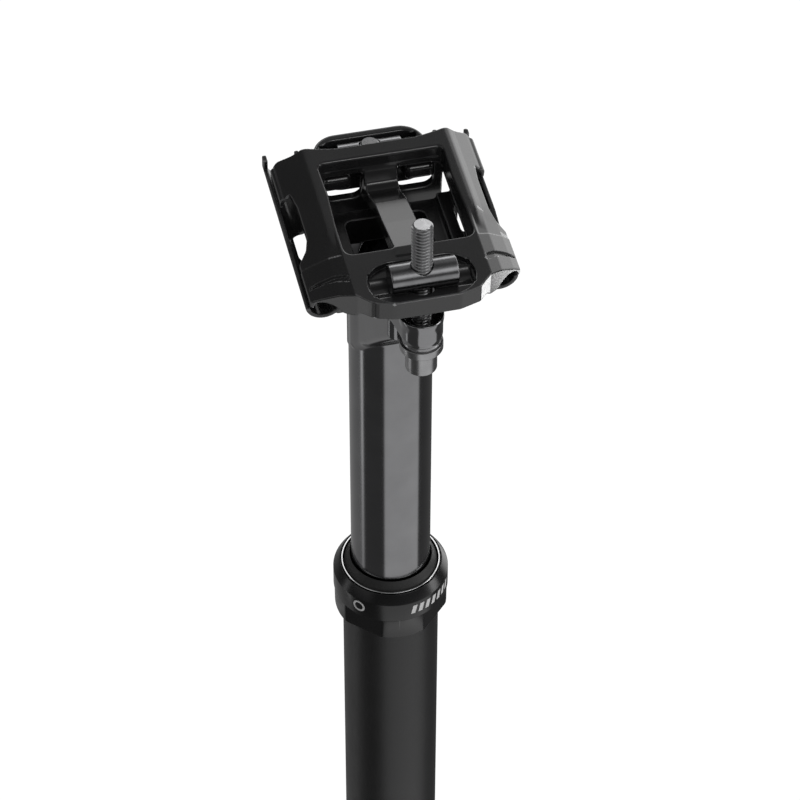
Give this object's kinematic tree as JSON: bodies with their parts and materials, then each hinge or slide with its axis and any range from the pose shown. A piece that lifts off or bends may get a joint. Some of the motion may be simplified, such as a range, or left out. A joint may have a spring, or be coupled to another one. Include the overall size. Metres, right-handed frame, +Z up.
{
  "type": "dropper seatpost",
  "caption": "Telescoping bicycle seatpost with a seal collar, a sliding inner post, a two-bolt saddle rail clamp and a cable-pulled release lever at its foot.",
  "frame": {"origin": "on the post's axis, level with the underside of the seal collar, where the post meets the top of the frame's seat tube", "axes": "+Z up along the post, -Y towards the handlebar (the nose of the saddle), +X to the side"},
  "size_m": [0.0549, 0.0708, 0.3736],
  "materials": {
    "tube_black": "satin black anodised, fine grain",
    "collar_black": "gloss black anodised",
    "bright_ring": "bright turned",
    "rubber": "matte black rubber",
    "bearing": "dark bearing polymer",
    "rod_steel": "ground and polished",
    "steel": "plain steel",
    "bolt_steel": "grey steel, satin",
    "nut_steel": "dark steel, turned",
    "brass": "machined brass",
    "cartridge_metal": "plain drawn aluminium",
    "post_black": "gloss dark grey anodised",
    "clamp_black": "satin black anodised, bright worn edges"
  },
  "bodies": {
    "lower_post": {"lower_tube": "tube_black", "collar": "collar_black", "collar_ring": "bright_ring", "collar_seal": "rubber", "wiper_seal": "rubber", "upper_bushing": "bearing", "cartridge_rod": "rod_steel", "main_piston": "brass", "rod_nut": "steel", "actuator_housing": "clamp_black", "lever_pivot_pin": "steel", "lever_spring": "steel"},
    "upper_post": {"upper_post": "post_black", "guide_key_1": "brass", "guide_key_2": "brass", "guide_key_3": "brass", "lower_bushing": "bearing", "top_out_bumper": "rubber", "cartridge_body": "cartridge_metal", "cartridge_top_plug": "cartridge_metal", "cartridge_nut": "steel", "cartridge_seal_head": "bearing"},
    "floating_piston": {"floating_piston": "brass"},
    "cradle": {"lower_cradle": "clamp_black"},
    "clamp": {"top_clamp": "clamp_black"},
    "front_nut": {"front_barrel_nut": "nut_steel"},
    "rear_nut": {"rear_barrel_nut": "nut_steel"},
    "front_seat": {"front_washer": "bolt_steel"},
    "front_bolt": {"front_bolt": "bolt_steel"},
    "rear_seat": {"rear_washer": "bolt_steel"},
    "rear_bolt": {"rear_bolt": "bolt_steel"},
    "lever": {"release_lever": "clamp_black"},
    "barrel": {"cable_barrel": "brass"},
    "push_pin": {"push_pin": "rod_steel"}
  },
  "joints": [
    {"name": "drop_slide", "type": "slide", "parent": "lower_post", "child": "upper_post", "axis": [0, 0, -1], "range_m": [0, 0.08], "stiffness_N_per_m": 150, "springref_m": -0.5},
    {"name": "floating_piston_slide", "type": "slide", "parent": "upper_post", "child": "floating_piston", "axis": [0, 0, 1], "range_m": [0, 0.0285]},
    {"name": "saddle_tilt", "type": "hinge", "parent": "upper_post", "child": "cradle", "pos_m": [0, -0.00547, 0.14798], "axis": [1, 0, 0], "range_deg": [-5, 5]},
    {"name": "clamp_lift", "type": "slide", "parent": "cradle", "child": "clamp", "axis": [0, 0, 1], "range_m": [0, 0.0015]},
    {"name": "front_nut_swivel", "type": "hinge", "parent": "clamp", "child": "front_nut", "pos_m": [0, -0.03315, 0.15232], "axis": [1, 0, 0], "range_deg": [-7, 7]},
    {"name": "rear_nut_swivel", "type": "hinge", "parent": "clamp", "child": "rear_nut", "pos_m": [0, 0.02301, 0.14521], "axis": [1, 0, 0], "range_deg": [-7, 7]},
    {"name": "front_seat_swing", "type": "hinge", "parent": "upper_post", "child": "front_seat", "pos_m": [0, -0.03315, 0.1314], "axis": [1, 0, 0], "range_deg": [-2, 2]},
    {"name": "rear_seat_swing", "type": "hinge", "parent": "upper_post", "child": "rear_seat", "pos_m": [0, 0.02301, 0.112], "axis": [1, 0, 0], "range_deg": [-1, 1]},
    {"name": "front_bolt_turn", "type": "hinge", "parent": "front_seat", "child": "front_bolt", "pos_m": [0, -0.03315, 0.1314], "axis": [0, 0, 1], "range_deg": [0, 542]},
    {"name": "rear_bolt_turn", "type": "hinge", "parent": "rear_seat", "child": "rear_bolt", "pos_m": [0, 0.02301, 0.112], "axis": [0, 0, 1], "range_deg": [0, 542]},
    {"name": "lever_turn", "type": "hinge", "parent": "lower_post", "child": "lever", "pos_m": [0, -0.003, -0.186], "axis": [1, 0, 0], "range_deg": [0, 22.5], "stiffness_Nm_per_rad": 0.05, "springref_deg": -22.92},
    {"name": "barrel_swivel", "type": "hinge", "parent": "lever", "child": "barrel", "pos_m": [0, -0.0097, -0.186], "axis": [1, 0, 0], "range_deg": [-23, 0]},
    {"name": "push_pin_slide", "type": "slide", "parent": "lower_post", "child": "push_pin", "axis": [0, 0, 1], "range_m": [0, 0.0016]}
  ],
  "couplings": [
    {"joint": "floating_piston_slide", "follows": "drop_slide", "ratio": 0.346},
    {"joint": "front_bolt_turn", "follows": "clamp_lift", "rad_per_m": 6283.2},
    {"joint": "rear_bolt_turn", "follows": "clamp_lift", "rad_per_m": 6283.2},
    {"joint": "front_seat_swing", "follows": "saddle_tilt", "ratio": 0.207},
    {"joint": "rear_seat_swing", "follows": "saddle_tilt", "ratio": -0.083},
    {"joint": "front_nut_swivel", "follows": "saddle_tilt", "ratio": -0.793},
    {"joint": "rear_nut_swivel", "follows": "saddle_tilt", "ratio": -1.083},
    {"joint": "lever_turn", "follows": "push_pin_slide", "rad_per_m": 240},
    {"joint": "barrel_swivel", "follows": "push_pin_slide", "rad_per_m": -240}
  ]
}
